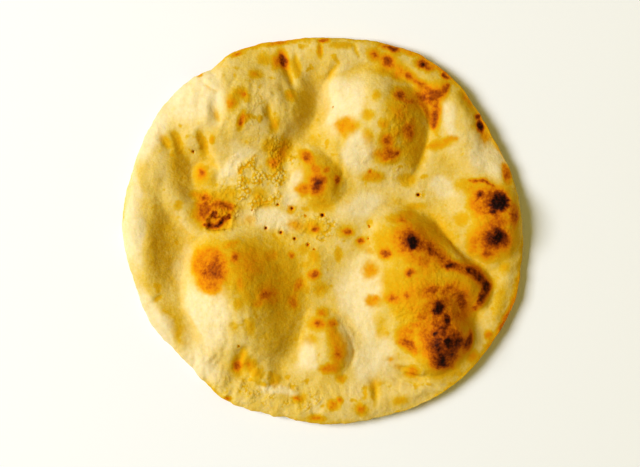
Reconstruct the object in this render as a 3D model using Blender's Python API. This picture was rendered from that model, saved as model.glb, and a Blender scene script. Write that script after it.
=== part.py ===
"""A round naan bread: one puffed flatbread, pressed flat underneath and blistered on top.

The bread is a single closed solid. Its upper skin is a round lattice of triangles that is lifted by a
relief: a thin sheet of dough, a rolled rim, steam blisters as domes, and the folds between them. The
rim turns under in a few rings, and the underside is flat where the bread rests.

Sizes are in millimetres and are turned into metres when the vertices are placed. +Z is up, the bread
rests on Z = 0, and the origin is under the middle of its outline. Bearings are in degrees,
anticlockwise from +X.
"""

import math
from typing import NamedTuple

import bmesh
import bpy
import numpy as np

MM = 0.001

# Driving dimensions of the dough, in millimetres.
SHEET_THICKNESS = 7.5      # the thin dough between the blisters
RIM_SHOULDER = 9.0         # how far in from the edge the upper side starts to round off
RIM_UNDERTURN = 7.0        # the same on the underside
RIM_HALF_THICKNESS = 5.0   # the rim's outermost line above the rim's underside
RIM_ROLL_WIDTH = 9.0       # how far the roll falls away on either side of its crest
CONTACT_SHARE = 0.78       # the flat part of the underside, as a share of the outline
DIMPLE_RISE = 0.9          # height of the slow waves in the sheet
DIMPLE_SPAN = 38.0         # length of those waves
CREASE_POWER = 3.0         # how crisply two lifts meet: more is crisper
WOBBLE = 1.6               # how far the blisters, hollows and folds stray from their plain curves
WOBBLE_SPAN = 50.0         # distance over which they stray to and fro

# Fineness of the solid.
TOP_RINGS = 35             # rings of triangles from the middle of the upper side to the edge
UNDERTURN_RINGS = 3        # rings in which the edge turns under

# The outline as bearing and radius: a hand-stretched round with a few blunt corners.
OUTLINE = [
    (0, 132.9), (14, 131.8), (30, 128.9), (44, 131.8), (58, 133.7), (72, 130.9), (88, 128.1),
    (104, 129.3), (113, 131.4), (118, 131.9), (123, 129.6), (131, 132.9), (146, 133.3), (163, 131.8),
    (177, 132.4), (196, 128.6), (206, 128.8), (225, 124.9), (239, 129.2), (258, 125.9), (272, 127.9),
    (286, 128.9), (300, 132.3), (316, 134.6), (330, 135.0), (339, 136.2), (348, 134.5),
]

# The rolled rim as bearing and rise: full on the left, almost flat at the foot of the bread.
RIM_ROLL = [
    (0, 2.4), (30, 2.8), (60, 2.4), (90, 2.0), (120, 2.6), (150, 4.6), (170, 6.2), (188, 6.8),
    (204, 5.6), (222, 3.6), (250, 2.2), (285, 2.2), (315, 3.2), (340, 3.0),
]

# From the edge in to the crest of the roll, as bearing and distance.
RIM_ROLL_INSET = [
    (0, 9.0), (90, 10.0), (130, 12.0), (155, 15.0), (185, 17.0), (212, 15.0), (250, 11.0), (320, 9.0),
]

# How far the rim's underside curls up off the table, as bearing and height.
RIM_LIFT = [
    (0, 1.6), (40, 3.2), (80, 1.2), (120, 2.6), (165, 1.0), (205, 2.2), (240, 0.8), (275, 1.4), (320, 2.8),
]


class Blister(NamedTuple):
    """Skin blown up by steam: its middle, half sizes, turn in degrees, rise above the dough and shape."""

    x: float
    y: float
    half_width: float
    half_length: float
    turn: float
    rise: float
    softness: float = 1.5            # 1 meets the dough in a crisp line, 2 runs out softly
    lean: tuple = (0.0, 0.0)         # how far the crown sits off the middle, as shares of the half sizes


class Fold(NamedTuple):
    """A furrow in the skin along a smooth route."""

    depth: float
    width: float
    route: tuple


BLISTERS = [
    Blister(-53, -47, 45, 56, 2, 17.5, 1.9, (-0.05, 0.0)),    # big dome, front left
    Blister(-56, -28, 42, 33, 0, 13.5, 1.8, (-0.1, 0.0)),     # its broad back shoulder
    Blister(60, -42, 47, 60, 15, 16.5, 1.8, (0.2, 0.0)),      # biggest dome, front right
    Blister(53, -10, 33, 29, 0, 14.0, 1.7, (0.15, 0.1)),      # its back peak
    Blister(74, -72, 30, 29, -15, 17.0, 1.7, (0.2, 0.0)),     # its front peak
    Blister(87, -33, 33, 20, -25, 12.5, 1.6, (0.2, 0.0)),     # its side spur
    Blister(31, 68, 42, 44, 5, 15.5, 1.8, (0.15, 0.1)),       # big dome, back right
    Blister(-55, 82, 54, 42, 8, 13.0, 1.4, (-0.1, 0.0)),      # low dome, back left
    Blister(105, 7, 38, 35, 0, 12.0, 1.6, (0.35, 0.0)),       # dome in the right rim
    Blister(90, 66, 18, 43, 24, 6.0, 1.6, (0.2, 0.0)),        # ridge along the right rim
    Blister(76, 92, 13, 11, 20, 4.0, 1.8),                    # pinched knot between dome and ridge
    Blister(-5, 35, 22, 24, 8, 7.5, 1.7, (0.15, 0.0)),        # small dome in the middle
    Blister(2, -75, 20, 25, 8, 6.5, 1.4, (0.1, 0.0)),         # egg-shaped dome at the front
    Blister(-3, -26, 13, 19, 5, 2.6, 2.0),                    # little dome between the big ones
    Blister(-80, 38, 12, 13, -10, 3.2, 2.0),                  # little dome behind the left rim
    Blister(-95, 18, 15, 29, 45, 4.0, 2.0),                   # saddle inside the left rim
    Blister(-40, -94, 16, 13, -20, 4.0, 1.9, (0.1, 0.0)),     # puff under the front left dome
    Blister(-68, 12, 18, 15, 0, 2.2, 2.0),                    # raised blistered patch
    Blister(-86, 58, 9, 15, 10, 2.6, 1.9),                    # bulge inside the back left rim
    Blister(10, 116, 30, 13, 0, 3.0, 1.8),                    # lip of the back rim
    Blister(-48, 42, 28, 27, 30, 3.0, 1.8),                   # gathered skin, left of the middle
    Blister(20, 4, 34, 24, 0, 2.5, 2.0),                      # gathered skin, right of the middle
]

# Places where the dough stuck to its sheet or sank: shaped like a blister, but taken away.
HOLLOWS = [
    Blister(-101, -10, 16, 48, 2, 4.2, 2.2),                  # valley inside the left rim
    Blister(-97, 43, 13, 29, 8, 4.2, 2.0),                    # valley inside the back left rim
    Blister(-91, -66, 12, 28, 28, 2.0, 2.2),                  # foot of the front left dome, outside
    Blister(-9, 82, 18, 40, -22, 4.4, 2.2),                   # valley between the two back domes
    Blister(98, -60, 12, 21, 12, 3.2, 2.0),                   # pocket between spur and front peak
    Blister(-22, -86, 14, 24, 12, 1.6, 2.2),                  # foot of the front left dome, inside
]

FOLDS = [
    Fold(1.4, 3.0, ((-112, 70), (-104, 58), (-98, 46))),
    Fold(1.4, 3.0, ((-100, 72), (-93, 60), (-88, 46))),
    Fold(2.2, 4.5, ((-82, 72), (-77, 58), (-74, 42))),
    Fold(1.2, 4.0, ((-71, 94), (-68, 80), (-65, 66))),
    Fold(1.3, 4.0, ((-38, 92), (-34, 76), (-29, 60))),
    Fold(1.2, 3.5, ((73, 84), (71, 70), (69, 56), (62, 40), (48, 28))),
    Fold(2.0, 3.2, ((56, 17), (68, 13), (78, 4), (85, -8), (94, -17), (106, -23), (118, -33))),
    Fold(1.4, 4.5, ((115, -38), (111, -54), (104, -72), (94, -86), (80, -98))),
    Fold(1.8, 3.4, ((-27, 122), (-21, 105), (-16, 90))),
    Fold(1.3, 3.2, ((15, 116), (8, 106), (2, 96), (-1, 84))),
    Fold(1.7, 3.4, ((-49, -76), (-55, -83), (-57, -90), (-54, -98))),
    Fold(0.8, 3.5, ((33, -92), (36, -105), (35, -121))),
]


def around(knots, bearing):
    """The value at each bearing on a smooth closed curve through (bearing, value) knots."""
    at = np.array([knot[0] for knot in knots], float)
    value = np.array([knot[1] for knot in knots], float)
    at = np.concatenate((at[-2:] - 360, at, at[:2] + 360))
    value = np.concatenate((value[-2:], value, value[:2]))
    slope = np.gradient(value, at)
    turn = np.mod(bearing, 360)
    i = np.clip(np.searchsorted(at, turn, side="right") - 1, 0, len(at) - 2)
    span = at[i + 1] - at[i]
    t = (turn - at[i]) / span
    return (
        value[i] * (1 + 2 * t) * (1 - t) ** 2
        + value[i + 1] * (3 - 2 * t) * t**2
        + span * slope[i] * t * (1 - t) ** 2
        - span * slope[i + 1] * (1 - t) * t**2
    )


def lift(blister, x, y):
    """How far a blister stands above the dough, and nothing outside its foot."""
    turn = math.radians(blister.turn)
    dx, dy = x - blister.x, y - blister.y
    across = (dx * math.cos(turn) + dy * math.sin(turn)) / blister.half_width
    along = (dy * math.cos(turn) - dx * math.sin(turn)) / blister.half_length
    inside = np.clip(1 - across**2 - along**2, 0, 1)
    across = across - blister.lean[0] * inside
    along = along - blister.lean[1] * inside
    return blister.rise * np.clip(1 - across**2 - along**2, 0, 1) ** blister.softness


def furrow(fold, x, y):
    """Depth of a fold at each point: deepest on its route and fading at its ends."""
    points = np.array(fold.route, float)
    lengths = np.hypot(*(points[1:] - points[:-1]).T)
    whole = lengths.sum()
    nearest = np.full(x.shape, np.inf)
    depth = np.zeros(x.shape)
    before = 0.0
    for start, end, length in zip(points[:-1], points[1:], lengths):
        step = (end - start) / length
        run = np.clip((x - start[0]) * step[0] + (y - start[1]) * step[1], 0, length)
        away = np.hypot(x - start[0] - run * step[0], y - start[1] - run * step[1])
        share = (before + run) / whole
        fade = np.clip(4 * share * (1 - share), 0, 1)
        closer = away < nearest
        nearest = np.where(closer, away, nearest)
        depth = np.where(closer, fold.depth * fade * np.exp(-((away / fold.width) ** 2)), depth)
        before += length
    return depth


def upper_height(x, y):
    """Height of the upper skin, before the edge is rounded off.

    Lifts that overlap are joined by a power mean, which keeps the higher one and fills the crease
    where they cross."""
    bearing = np.degrees(np.arctan2(y, x))
    inset = around(OUTLINE, bearing) - np.hypot(x, y)
    waves = np.sin(2 * x / DIMPLE_SPAN + 1.0) * np.cos(2 * y / DIMPLE_SPAN - 0.6)
    roll = np.exp(-(((inset - around(RIM_ROLL_INSET, bearing)) / RIM_ROLL_WIDTH) ** 2))
    total = (around(RIM_ROLL, bearing) * roll) ** CREASE_POWER
    pace = 2 * math.pi / WOBBLE_SPAN
    x, y = x + WOBBLE * np.sin(pace * y + 0.7), y + WOBBLE * np.sin(pace * x - 0.4)
    for blister in BLISTERS:
        total = total + lift(blister, x, y) ** CREASE_POWER
    height = SHEET_THICKNESS + DIMPLE_RISE * waves + total ** (1 / CREASE_POWER)
    for hollow in HOLLOWS:
        height = height - lift(hollow, x, y)
    for fold in FOLDS:
        height = height - furrow(fold, x, y)
    return height


def rim_line(bearing):
    """Height of the rim's outermost line above the table."""
    return around(RIM_LIFT, bearing) + RIM_HALF_THICKNESS


def place_top(verts):
    """Moves the hexagonal lattice of the upper side on to the bread.

    Each hexagonal ring becomes a round one. Rings near the edge follow a quarter of an ellipse, so
    that the rim is evenly round."""
    flat = np.array([v.co[:2] for v in verts])
    bearing = np.degrees(np.arctan2(flat[:, 1], flat[:, 0]))
    apothem = math.cos(math.radians(30))
    normals = np.radians(np.arange(0, 360, 60))
    share = np.max(flat @ np.array([np.cos(normals), np.sin(normals)]), axis=1) / apothem
    radius = around(OUTLINE, bearing)
    level = radius - RIM_SHOULDER
    shoulder = RIM_SHOULDER * 1.2
    walked = share * (level + shoulder)
    bend = np.clip((walked - level) / shoulder, 0, 1) * math.pi / 2
    out = np.minimum(walked, level) + RIM_SHOULDER * np.sin(bend)
    x = out * np.cos(np.radians(bearing))
    y = out * np.sin(np.radians(bearing))
    line = rim_line(bearing)
    z = line + (upper_height(x, y) - line) * np.cos(bend)
    for vert, place in zip(verts, np.stack((x, y, z), axis=1)):
        vert.co = place


def place_under_ring(verts, bend, contact):
    """Moves one ring of the underside: bend is 90 at the edge and 0 where the underturn ends."""
    flat = np.array([v.co[:2] for v in verts])
    bearing = np.degrees(np.arctan2(flat[:, 1], flat[:, 0]))
    radius = around(OUTLINE, bearing)
    line = rim_line(bearing)
    if contact:
        out = radius * CONTACT_SHARE
        z = np.zeros(len(out))
    else:
        out = radius - RIM_UNDERTURN * (1 - math.sin(math.radians(bend)))
        z = line - RIM_HALF_THICKNESS * math.cos(math.radians(bend))
    x = out * np.cos(np.radians(bearing))
    y = out * np.sin(np.radians(bearing))
    for vert, place in zip(verts, np.stack((x, y, z), axis=1)):
        vert.co = place


def next_ring(bm, edges):
    """Extrudes a closed loop of edges and returns the new loop's edges and vertices."""
    made = bmesh.ops.extrude_edge_only(bm, edges=edges)["geom"]
    verts = [item for item in made if isinstance(item, bmesh.types.BMVert)]
    ring = set(verts)
    loop = [item for item in made if isinstance(item, bmesh.types.BMEdge) and ring.issuperset(item.verts)]
    return loop, verts


def build_bread():
    """The bread's mesh: upper skin, rounded rim, underturn and flat underside, in metres."""
    bm = bmesh.new()
    bmesh.ops.create_circle(bm, cap_ends=True, cap_tris=True, segments=6, radius=1.0)
    bmesh.ops.subdivide_edges(bm, edges=bm.edges[:], cuts=TOP_RINGS - 1, use_grid_fill=True)
    place_top(bm.verts[:])
    loop = [edge for edge in bm.edges if edge.is_boundary]
    for ring in range(UNDERTURN_RINGS):
        loop, verts = next_ring(bm, loop)
        place_under_ring(verts, 90 * (1 - (ring + 1) / UNDERTURN_RINGS), contact=False)
    loop, verts = next_ring(bm, loop)
    place_under_ring(verts, 0, contact=True)
    bmesh.ops.contextual_create(bm, geom=loop)
    bmesh.ops.recalc_face_normals(bm, faces=bm.faces[:])
    put_over_origin(bm)
    mesh = bpy.data.meshes.new("naan")
    bm.to_mesh(mesh)
    bm.free()
    return mesh


def put_over_origin(bm):
    """Scales the bread to metres and moves the middle of its outline over the origin."""
    for axis in (0, 1):
        low = min(v.co[axis] for v in bm.verts)
        high = max(v.co[axis] for v in bm.verts)
        for vert in bm.verts:
            vert.co[axis] -= (low + high) / 2
    bmesh.ops.scale(bm, vec=(MM, MM, MM), verts=bm.verts[:])


def baked_crust():
    """Pale, matt, lightly floured crust."""
    material = bpy.data.materials.new("baked_crust")
    material.use_nodes = True
    shader = material.node_tree.nodes["Principled BSDF"]
    shader.inputs["Base Color"].default_value = (0.79, 0.58, 0.24, 1.0)
    shader.inputs["Roughness"].default_value = 0.75
    shader.inputs["Metallic"].default_value = 0.0
    return material


def main():
    for old in list(bpy.data.objects):
        bpy.data.objects.remove(old)
    collection = bpy.data.collections.new("naan_bread")
    bpy.context.scene.collection.children.link(collection)
    mesh = build_bread()
    mesh.materials.append(baked_crust())
    mesh.shade_smooth()
    bread = bpy.data.objects.new("naan", mesh)
    collection.objects.link(bread)


main()
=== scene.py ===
"""The looks of a round naan: its blistered skin, scorched crust and underside, in a plain studio.

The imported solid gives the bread's size and place. The crust modelled here has the solid's outline,
rim, blisters and folds, with the fine skin on top: creases, wrinkles, burst bubbles, pricks from a
baker's docker, and a torn patch. Lengths in this file are millimetres until a mesh is scaled by MM,
and bearings are degrees, anticlockwise from +X.
"""

import logging
import math
from dataclasses import dataclass, field
from enum import Enum
from typing import Any, Iterable

import bmesh
import bpy
import numpy as np
from mathutils import Matrix, Vector


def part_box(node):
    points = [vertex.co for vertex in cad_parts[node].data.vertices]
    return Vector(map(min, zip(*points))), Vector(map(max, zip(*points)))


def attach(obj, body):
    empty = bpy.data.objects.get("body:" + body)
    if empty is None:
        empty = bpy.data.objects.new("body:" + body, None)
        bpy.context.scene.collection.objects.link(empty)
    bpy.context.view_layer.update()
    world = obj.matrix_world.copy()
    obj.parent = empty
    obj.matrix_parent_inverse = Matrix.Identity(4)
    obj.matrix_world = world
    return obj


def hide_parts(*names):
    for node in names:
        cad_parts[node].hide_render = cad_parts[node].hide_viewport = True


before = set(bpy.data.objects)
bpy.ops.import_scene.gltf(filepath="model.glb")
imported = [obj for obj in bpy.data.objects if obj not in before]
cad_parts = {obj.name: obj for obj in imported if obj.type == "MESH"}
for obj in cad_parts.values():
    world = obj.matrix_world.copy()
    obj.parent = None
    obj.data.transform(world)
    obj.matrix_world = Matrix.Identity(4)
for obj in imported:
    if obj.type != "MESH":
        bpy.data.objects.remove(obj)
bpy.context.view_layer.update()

LOG = logging.getLogger("naan")

MM = 0.001
NODE = "naan"

MEAN_RADIUS = 130.0
NOISE_GAIN = 1.7
WORD = 0xFFFFFFFF
CELL_STEPS = np.array((374761393, 668265263, 915488749))
SEED_STEP, CELL_MIXER = 974634777, 1274126177
GRID_STEPS, GRID_MIXER = (73856093, 19349663, 83492791), 2654435761

Array = np.ndarray
Socket = bpy.types.NodeSocket
Route = tuple[tuple[float, float], ...]
# Rows of strength, size in millimetres and seed.
Layers = tuple[tuple[float, float, int], ...]


class Bake(Enum):
    """How far a spot of crust is baked, from raw-looking dough at 0 to charcoal at 1."""

    # A pale gold wash; many of its spots are painted shade, in hollows and on flanks turned from the
    # key light.
    WASH_AND_SHADE = 0.20
    GOLD = 0.30
    AMBER = 0.42
    ORANGE = 0.53
    RUST = 0.65
    BROWN = 0.77
    DARK = 0.89
    CHAR = 1.0


class Face(Enum):
    """Which side of the bread a lattice of vertices covers."""

    UPPER = 0
    UNDER = 1


# ---- Shapes in the plane ----


def noise(points: Array, size: float, seed: int) -> Array:
    """Smooth gradient noise, the same on every run.

    Args:
        points: Places in millimetres, one row of x, y, z each.
        size: Distance over which the noise changes, in millimetres.
        seed: Picks one of many unrelated patterns.

    Returns:
        One value for each point, mostly between -1 and 1.
    """
    scaled = points / size
    cell = np.floor(scaled).astype(np.int64)
    inside = scaled - cell
    fade = inside**3 * (inside * (inside * 6 - 15) + 10)
    total = np.zeros(len(points))
    for corner in np.ndindex(2, 2, 2):
        at = cell + np.array(corner)
        mixed = (at @ CELL_STEPS + seed * SEED_STEP) & WORD
        mixed = ((mixed ^ (mixed >> 13)) * CELL_MIXER) & WORD
        mixed = mixed ^ (mixed >> 16)
        slope = np.stack([(mixed >> shift) & 255 for shift in (0, 8, 16)], axis=1) / 127.5 - 1
        weight = np.prod(np.where(np.array(corner) == 1, fade, 1 - fade), axis=1)
        total += weight * np.sum(slope * (inside - np.array(corner)), axis=1)
    return total * NOISE_GAIN


def layered(points: Array, layers: Layers) -> Array:
    """Noise in layers of different sizes, added up."""
    return np.sum([strength * noise(points, size, seed) for strength, size, seed in layers], axis=0)


def strayed(points: Array, across: Layers, along: Layers) -> tuple[Array, Array]:
    """The x and y of each place, moved a little so that what is laid there has a ragged edge."""
    return points[:, 0] + layered(points, across), points[:, 1] + layered(points, along)


def many(kind: type, *rows: tuple[Any, ...]) -> tuple[Any, ...]:
    """One thing of that kind for each row of its values."""
    return tuple(kind(*row) for row in rows)


def smooth_step(value: Array, low: float, high: float) -> Array:
    """0 below low, 1 above high, and a smooth ramp between them."""
    t = np.clip((value - low) / (high - low), 0, 1)
    return t * t * (3 - 2 * t)


def turned(x: Array, y: Array, middle: tuple[float, float], turn: float) -> tuple[Array, Array]:
    """Places seen from a middle, along axes turned by that many degrees.

    Args:
        x: Places across.
        y: Places along.
        middle: Where the new axes start.
        turn: How far they are turned, anticlockwise.

    Returns:
        The places across and along the new axes.
    """
    c, s = math.cos(math.radians(turn)), math.sin(math.radians(turn))
    dx, dy = x - middle[0], y - middle[1]
    return dx * c + dy * s, dy * c - dx * s


def along_route(x: Array, y: Array, route: Route) -> tuple[Array, Array, Array]:
    """Measures places against a route.

    Args:
        x: Places across.
        y: Places along.
        route: The route's points.

    Returns:
        The distance from the route, the side of it (positive on the left), and how far along it the
        nearest point lies, from 0 to 1.
    """
    points = np.array(route, float)
    lengths = np.hypot(*(points[1:] - points[:-1]).T)
    away = np.full(x.shape, np.inf)
    side = np.zeros(x.shape)
    share = np.zeros(x.shape)
    before = 0.0
    for start, end, length in zip(points[:-1], points[1:], lengths):
        step = (end - start) / length
        run = np.clip((x - start[0]) * step[0] + (y - start[1]) * step[1], 0, length)
        dx, dy = x - start[0] - run * step[0], y - start[1] - run * step[1]
        distance = np.hypot(dx, dy)
        closer = distance < away
        away = np.where(closer, distance, away)
        side = np.where(closer, step[0] * dy - step[1] * dx, side)
        share = np.where(closer, (before + run) / lengths.sum(), share)
        before += length
    return away, side, share


@dataclass(frozen=True)
class ClosedCurve:
    """A value that changes smoothly with bearing, through (bearing, value) knots."""

    knots: tuple[tuple[float, float], ...]

    def at(self, bearing: Array) -> Array:
        """The value at each bearing, in degrees.

        Args:
            bearing: Bearings in degrees.

        Returns:
            The value at each bearing.
        """
        knot = np.array(self.knots, float)
        at = np.concatenate((knot[-2:, 0] - 360, knot[:, 0], knot[:2, 0] + 360))
        value = np.concatenate((knot[-2:, 1], knot[:, 1], knot[:2, 1]))
        slope = np.gradient(value, at)
        turn = np.mod(bearing, 360)
        i = np.clip(np.searchsorted(at, turn, side="right") - 1, 0, len(at) - 2)
        span = at[i + 1] - at[i]
        t = (turn - at[i]) / span
        return (
            value[i] * (1 + 2 * t) * (1 - t) ** 2
            + value[i + 1] * (3 - 2 * t) * t**2
            + span * slope[i] * t * (1 - t) ** 2
            - span * slope[i + 1] * (1 - t) * t**2
        )


# ---- The dough's main form, as in the solid ----


@dataclass(frozen=True)
class Blister:
    """A dome of skin blown up by steam: middle, half sizes, turn, rise, softness and lean."""

    x: float
    y: float
    half_width: float
    half_length: float
    turn: float
    rise: float
    softness: float = 1.5
    lean: tuple[float, float] = (0.0, 0.0)

    def lift(self, x: Array, y: Array) -> Array:
        """How far it stands above the dough, and nothing outside its foot.

        Args:
            x: Places across.
            y: Places along.

        Returns:
            The height of each place, in millimetres.
        """
        across, along = turned(x, y, (self.x, self.y), self.turn)
        across, along = across / self.half_width, along / self.half_length
        inside = np.clip(1 - across**2 - along**2, 0, 1)
        across = across - self.lean[0] * inside
        along = along - self.lean[1] * inside
        return self.rise * np.clip(1 - across**2 - along**2, 0, 1) ** self.softness


@dataclass(frozen=True)
class Fold:
    """A furrow along a route: deepest in the middle and fading at its ends."""

    depth: float
    width: float
    route: Route
    lip: float = 0.0
    lip_away: float = 1.6

    def cut(self, x: Array, y: Array) -> Array:
        """How far the skin is pulled down, less the lip that is pushed up on the left.

        Args:
            x: Places across.
            y: Places along.

        Returns:
            The depth of each place, in millimetres.
        """
        away, side, share = along_route(x, y, self.route)
        fade = np.clip(4 * share * (1 - share), 0, 1)
        raised = np.exp(-((side / self.width - self.lip_away) ** 2)) * (away < 4 * self.width)
        return fade * (self.depth * np.exp(-((away / self.width) ** 2)) - self.lip * raised)


@dataclass(frozen=True)
class DoughForm:
    """The bread's main form, with the solid's values or ones within a millimetre or two of them."""

    sheet: float = 7.5
    shoulder: float = 9.0
    underturn: float = 7.0
    half_thickness: float = 5.0
    contact_share: float = 0.78
    dimple_rise: float = 0.9
    dimple_span: float = 38.0
    dimple_phases: tuple[float, float] = (1.0, -0.6)
    crease_power: float = 3.0
    outline: ClosedCurve = ClosedCurve((
        (0, 132.9), (14, 131.8), (30, 128.9), (44, 131.8), (58, 133.7), (72, 130.9), (88, 128.1),
        (104, 129.3), (113, 131.4), (118, 131.9), (123, 129.6), (131, 132.9), (146, 133.3),
        (163, 131.8), (177, 132.4), (196, 128.6), (206, 128.8), (225, 124.9), (239, 129.2),
        (258, 125.9), (272, 127.9), (286, 128.9), (300, 132.3), (316, 134.6), (330, 135),
        (339, 136.2), (348, 134.5),
    ))
    roll: ClosedCurve = ClosedCurve((
        (0, 2.4), (30, 2.8), (60, 2.4), (90, 2), (120, 2.6), (150, 3.8), (170, 4.8), (188, 5.2),
        (204, 4.4), (222, 3.6), (250, 2.2), (285, 2.2), (315, 3.2), (340, 3),
    ))
    roll_width: ClosedCurve = ClosedCurve((
        (0, 8), (90, 9), (130, 11), (160, 14), (190, 15), (220, 11), (300, 8),
    ))
    curl: ClosedCurve = ClosedCurve((
        (0, 1.6), (40, 3.2), (80, 1.2), (120, 2.6), (165, 1), (205, 2.2), (240, 0.8), (275, 1.4),
        (320, 2.8),
    ))
    roll_inset: ClosedCurve = ClosedCurve((
        (0, 9), (90, 10), (130, 11), (155, 12), (185, 13), (212, 12), (250, 10), (320, 9),
    ))
    blisters: tuple[Blister, ...] = many(
        Blister, (-53, -47, 45, 56, 2, 17.5, 1.9, (-0.05, 0)),
        (-56, -28, 42, 33, 0, 13.5, 1.8, (-0.1, 0)), (60, -42, 47, 60, 15, 16.5, 1.8, (0.2, 0)),
        (53, -10, 33, 29, 0, 14, 1.7, (0.15, 0.1)), (74, -72, 30, 29, -15, 17, 1.7, (0.2, 0)),
        (87, -33, 33, 20, -25, 12.5, 1.6, (0.2, 0)), (31, 68, 42, 44, 5, 15.5, 1.8, (0.15, 0.1)),
        (-55, 82, 54, 42, 8, 13, 1.4, (-0.1, 0)), (105, 7, 38, 35, 0, 12, 1.6, (0.35, 0)),
        (90, 66, 18, 43, 24, 6, 1.6, (0.2, 0)), (76, 92, 13, 11, 20, 4, 1.8),
        (-5, 35, 22, 24, 8, 7.5, 1.7, (0.15, 0)), (2, -75, 20, 25, 8, 6.5, 1.4, (0.1, 0)),
        (-3, -26, 13, 19, 5, 2.6, 2), (-78.5, 38, 11, 12, -10, 4.8, 2.1),
        (-95, 18, 13, 28, 45, 4.6, 2), (-40, -94, 16, 13, -20, 4, 1.9, (0.1, 0)),
        (-68, 12, 18, 15, 0, 2.2, 2), (-86, 58, 9, 15, 10, 2.6, 1.9), (10, 116, 30, 13, 0, 3, 1.8),
        (-48, 42, 28, 27, 30, 3, 1.8), (20, 4, 34, 24, 0, 2.5, 2),
    )
    hollows: tuple[Blister, ...] = many(
        Blister, (-96, -14, 21, 44, -8, 5, 1.8), (-83, 42, 16, 26, -4, 6, 2),
        (-91, -66, 12, 28, 28, 2, 2.2), (-3, 84, 15, 32, -6, 4.6, 2),
        (-16, 60, 14, 18, -45, 2.6, 2), (98, -60, 12, 21, 12, 3.2, 2),
        (-22, -86, 14, 24, 12, 1.6, 2.2),
    )
    folds: tuple[Fold, ...] = many(
        Fold, (0.8, 2.6, ((-108, 65), (-102, 57), (-97, 48))),
        (1.2, 3.2, ((-95, 70), (-91, 60), (-86, 47))), (2.4, 4, ((-79, 72), (-75, 58), (-72, 40))),
        (2, 4.2, ((-75, 94), (-70, 80), (-68, 62))), (1.8, 3.6, ((-38, 92), (-34, 76), (-29, 60))),
        (1.2, 3.5, ((73, 84), (71, 70), (69, 56), (62, 40), (48, 28))),
        (2, 3.2, ((56, 17), (68, 13), (78, 4), (85, -8), (94, -17), (106, -23), (118, -33))),
        (1.4, 4.5, ((115, -38), (111, -54), (104, -72), (94, -86), (80, -98))),
        (1.8, 3.4, ((-27, 122), (-21, 105), (-16, 90))),
        (1.3, 3.2, ((15, 116), (8, 106), (2, 96), (-1, 84))),
        (1.3, 3.4, ((-47, -76), (-53, -82), (-56, -89), (-53, -98))),
        (0.8, 3.5, ((33, -92), (36, -105), (35, -121))),
    )
    wobble: float = 1.6
    wobble_span: float = 50.0
    wobble_phases: tuple[float, float] = (0.7, -0.4)

    def inset(self, x: Array, y: Array) -> Array:
        """How far in from the outline each place lies."""
        return self.outline.at(np.degrees(np.arctan2(y, x))) - np.hypot(x, y)

    def upper(self, x: Array, y: Array) -> Array:
        """Height of the upper skin, before the edge is rounded off.

        Args:
            x: Places across.
            y: Places along.

        Returns:
            The height of each place, in millimetres.
        """
        bearing = np.degrees(np.arctan2(y, x))
        pace, (first, second) = 2 / self.dimple_span, self.dimple_phases
        waves = np.sin(pace * x + first) * np.cos(pace * y + second)
        inward = self.inset(x, y) - self.roll_inset.at(bearing)
        roll = np.exp(-((inward / self.roll_width.at(bearing)) ** 2))
        total = (self.roll.at(bearing) * roll) ** self.crease_power
        pace, (first, second) = 2 * math.pi / self.wobble_span, self.wobble_phases
        x, y = (
            x + self.wobble * np.sin(pace * y + first),
            y + self.wobble * np.sin(pace * x + second),
        )
        for blister in self.blisters:
            total = total + blister.lift(x, y) ** self.crease_power
        height = self.sheet + self.dimple_rise * waves + total ** (1 / self.crease_power)
        for hollow in self.hollows:
            height = height - hollow.lift(x, y)
        for fold in self.folds:
            height = height - fold.cut(x, y)
        return height

    def hollowness(self, x: Array, y: Array, reach: float) -> Array:
        """How far each place lies below the places that far around it, in millimetres.

        Args:
            x: Places across.
            y: Places along.
            reach: How far around each place is looked at.

        Returns:
            How far each place lies below its surroundings.
        """
        steps = ((reach, 0), (-reach, 0), (0, reach), (0, -reach))
        around = [self.upper(x + dx, y + dy) for dx, dy in steps]
        return np.mean(around, axis=0) - self.upper(x, y)

    def rim_line(self, bearing: Array) -> Array:
        """Height of the rim's outermost line."""
        return self.curl.at(bearing) + self.half_thickness


# ---- The fine skin ----


@dataclass(frozen=True)
class Patch:
    """A soft-edged patch of skin: middle, half sizes and turn in degrees."""

    x: float
    y: float
    half_width: float
    half_length: float
    turn: float = 0.0

    def share(self, x: Array, y: Array) -> Array:
        """1 in the middle of the patch, fading to 0 at its border.

        Args:
            x: Places across.
            y: Places along.

        Returns:
            The share of each place.
        """
        across, along = turned(x, y, (self.x, self.y), self.turn)
        reach = np.hypot(across / self.half_width, along / self.half_length)
        return smooth_step(-reach, -1.0, -0.45)


@dataclass(frozen=True)
class WrinklePatch(Patch):
    """Fine wrinkles that run along the patch, with their spacing and height."""

    spacing: float = 5.0
    height: float = 0.4


@dataclass(frozen=True)
class PimplePatch(Patch):
    """Small burst bubbles, and how thickly they stand."""

    strength: float = 1.0


@dataclass(frozen=True)
class Prick:
    """A hole left by the docker, with its mouth's radius and its depth."""

    x: float
    y: float
    radius: float = 1.1
    depth: float = 1.5


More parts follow.
